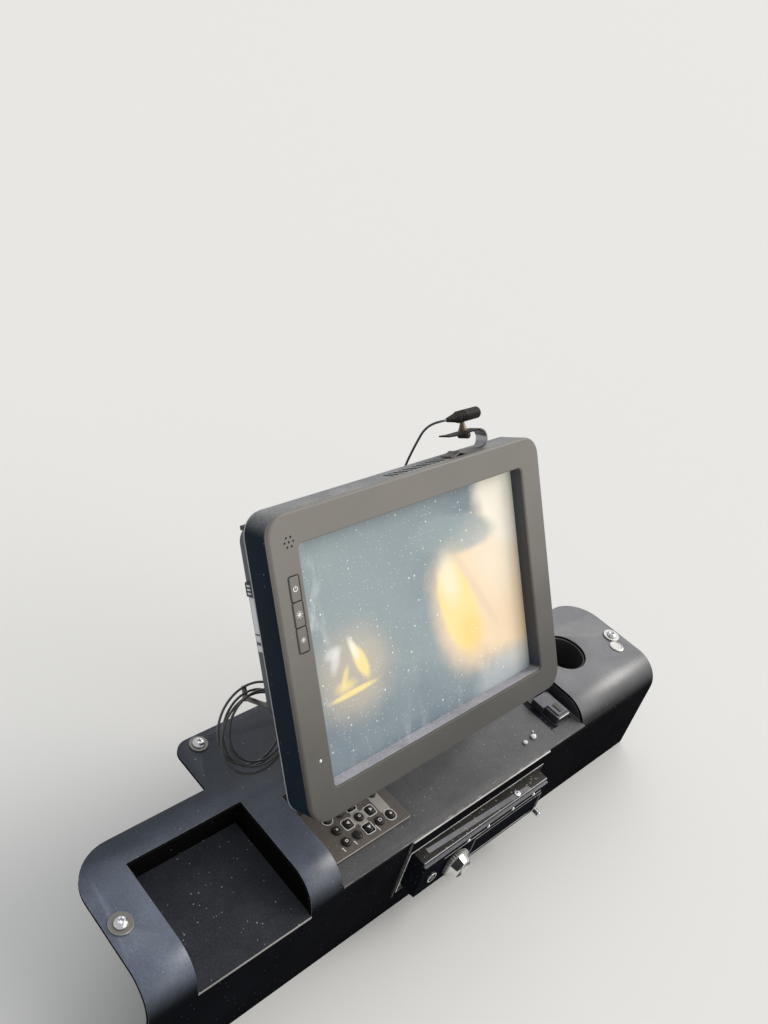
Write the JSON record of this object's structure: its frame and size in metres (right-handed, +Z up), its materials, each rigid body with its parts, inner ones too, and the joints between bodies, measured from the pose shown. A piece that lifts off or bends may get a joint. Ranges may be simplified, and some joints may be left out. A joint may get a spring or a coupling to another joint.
{
  "type": "cab dash console with control display",
  "caption": "Folded sheet dash console of a forestry machine's cab with a tilting control display, keypad, radio, storage pocket and clip-on microphone.",
  "frame": {"origin": "midway between the two front fixing holes, on the underside of the console's top sheet", "axes": "+X to the operator's right, +Y forwards, away from the operator, +Z up"},
  "size_m": [0.63, 0.2045, 0.4046],
  "materials": {
    "console_black": "fine-textured powder coat, dusty",
    "black_plastic": "fine grained, dusty",
    "keypad_brown": "dusty",
    "key_rubber": "satin domes",
    "bezel_taupe": "fine textured",
    "housing_blue_black": "satin",
    "case_grey": "satin",
    "screen_glass": "dusty, switched off",
    "panel_grey": "matte",
    "steel": "satin",
    "chrome": "polished, dusty",
    "gloss_black": "gloss, dusty",
    "lead_black": "satin"
  },
  "bodies": {
    "console": {"console_shell": "console_black", "shelf_tray": "console_black", "pocket_tray": "console_black", "tool_cup": "black_plastic", "keypad_plate": "keypad_brown", "keypad_keys": "key_rubber", "radio_sleeve": "steel", "radio_case": "steel", "radio_nose": "gloss_black", "radio_knob": "chrome", "radio_buttons": "gloss_black", "plug_block": "black_plastic", "stand_foot": "console_black"},
    "swivel": {"swivel_head": "console_black", "tilt_pin": "steel", "tilt_knobs": "black_plastic"},
    "display": {"hinge_bracket": "console_black", "display_bezel": "bezel_taupe", "display_housing": "housing_blue_black", "rear_chassis": "case_grey", "screen_glass": "screen_glass", "screen_panel": "panel_grey", "bezel_buttons": "bezel_taupe", "mic_clip": "chrome", "mic_body": "black_plastic", "lead_socket": "black_plastic", "lead_plug": "black_plastic", "lead_hook": "steel", "lead_clips": "black_plastic", "lead_run": "lead_black", "lead_coil": "lead_black", "lead_tail": "lead_black"}
  },
  "joints": [
    {"name": "display_swivel", "type": "hinge", "parent": "console", "child": "swivel", "pos_m": [-0.025, 0.078, 0.07], "axis": [0, 0, 1], "range_deg": [-20, 20]},
    {"name": "display_tilt", "type": "hinge", "parent": "swivel", "child": "display", "pos_m": [-0.025, 0.078, 0.115], "axis": [1, 0, 0], "range_deg": [-12, 15]}
  ]
}
